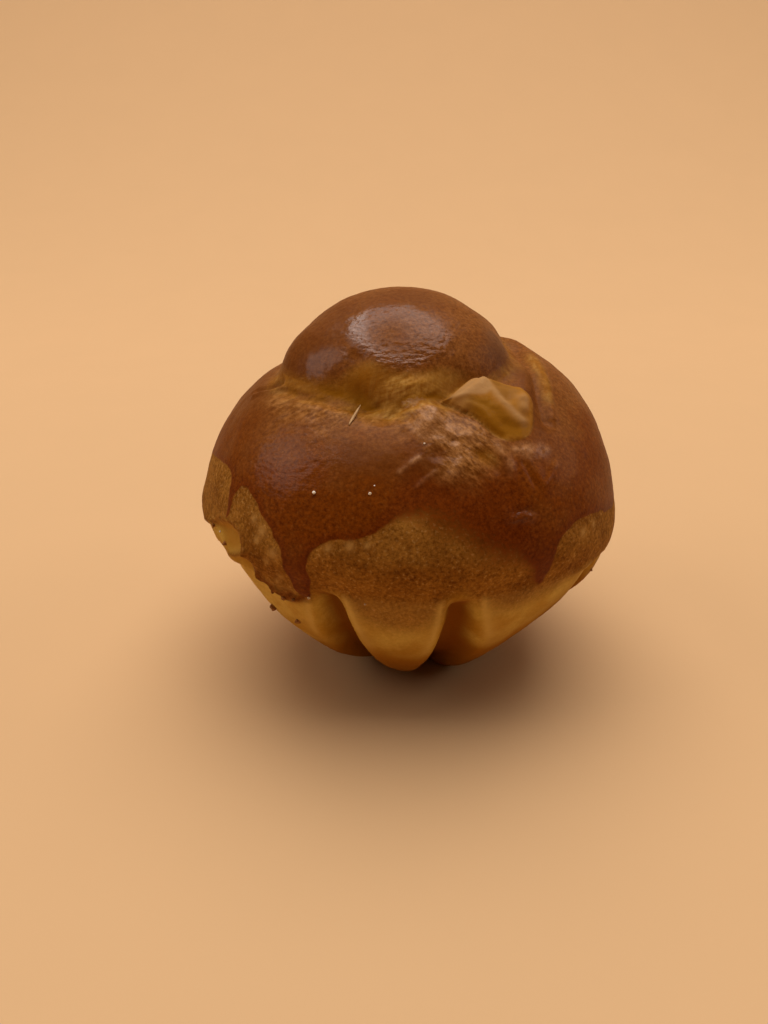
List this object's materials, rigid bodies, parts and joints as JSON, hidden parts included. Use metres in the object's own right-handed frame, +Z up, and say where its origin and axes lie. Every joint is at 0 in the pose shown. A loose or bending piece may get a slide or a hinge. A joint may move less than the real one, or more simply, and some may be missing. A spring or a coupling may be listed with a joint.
{
  "type": "brioche bun",
  "caption": "Round bun with a tapering fluted base, a glossy browned dome and a small round head that sits in a pale, torn crease.",
  "frame": {"origin": "on the surface that the bun stands on, below the middle of its body", "axes": "+Z up through the head, -Y towards the front, where the pale burst shows, and +X to the right of it"},
  "size_m": [0.0846, 0.0838, 0.0775],
  "materials": {
    "crust": "egg-washed crust, glossy dark brown on the dome and matt golden brown on the fluted wall"
  },
  "bodies": {
    "root": {"brioche": "crust"}
  },
  "joints": []
}
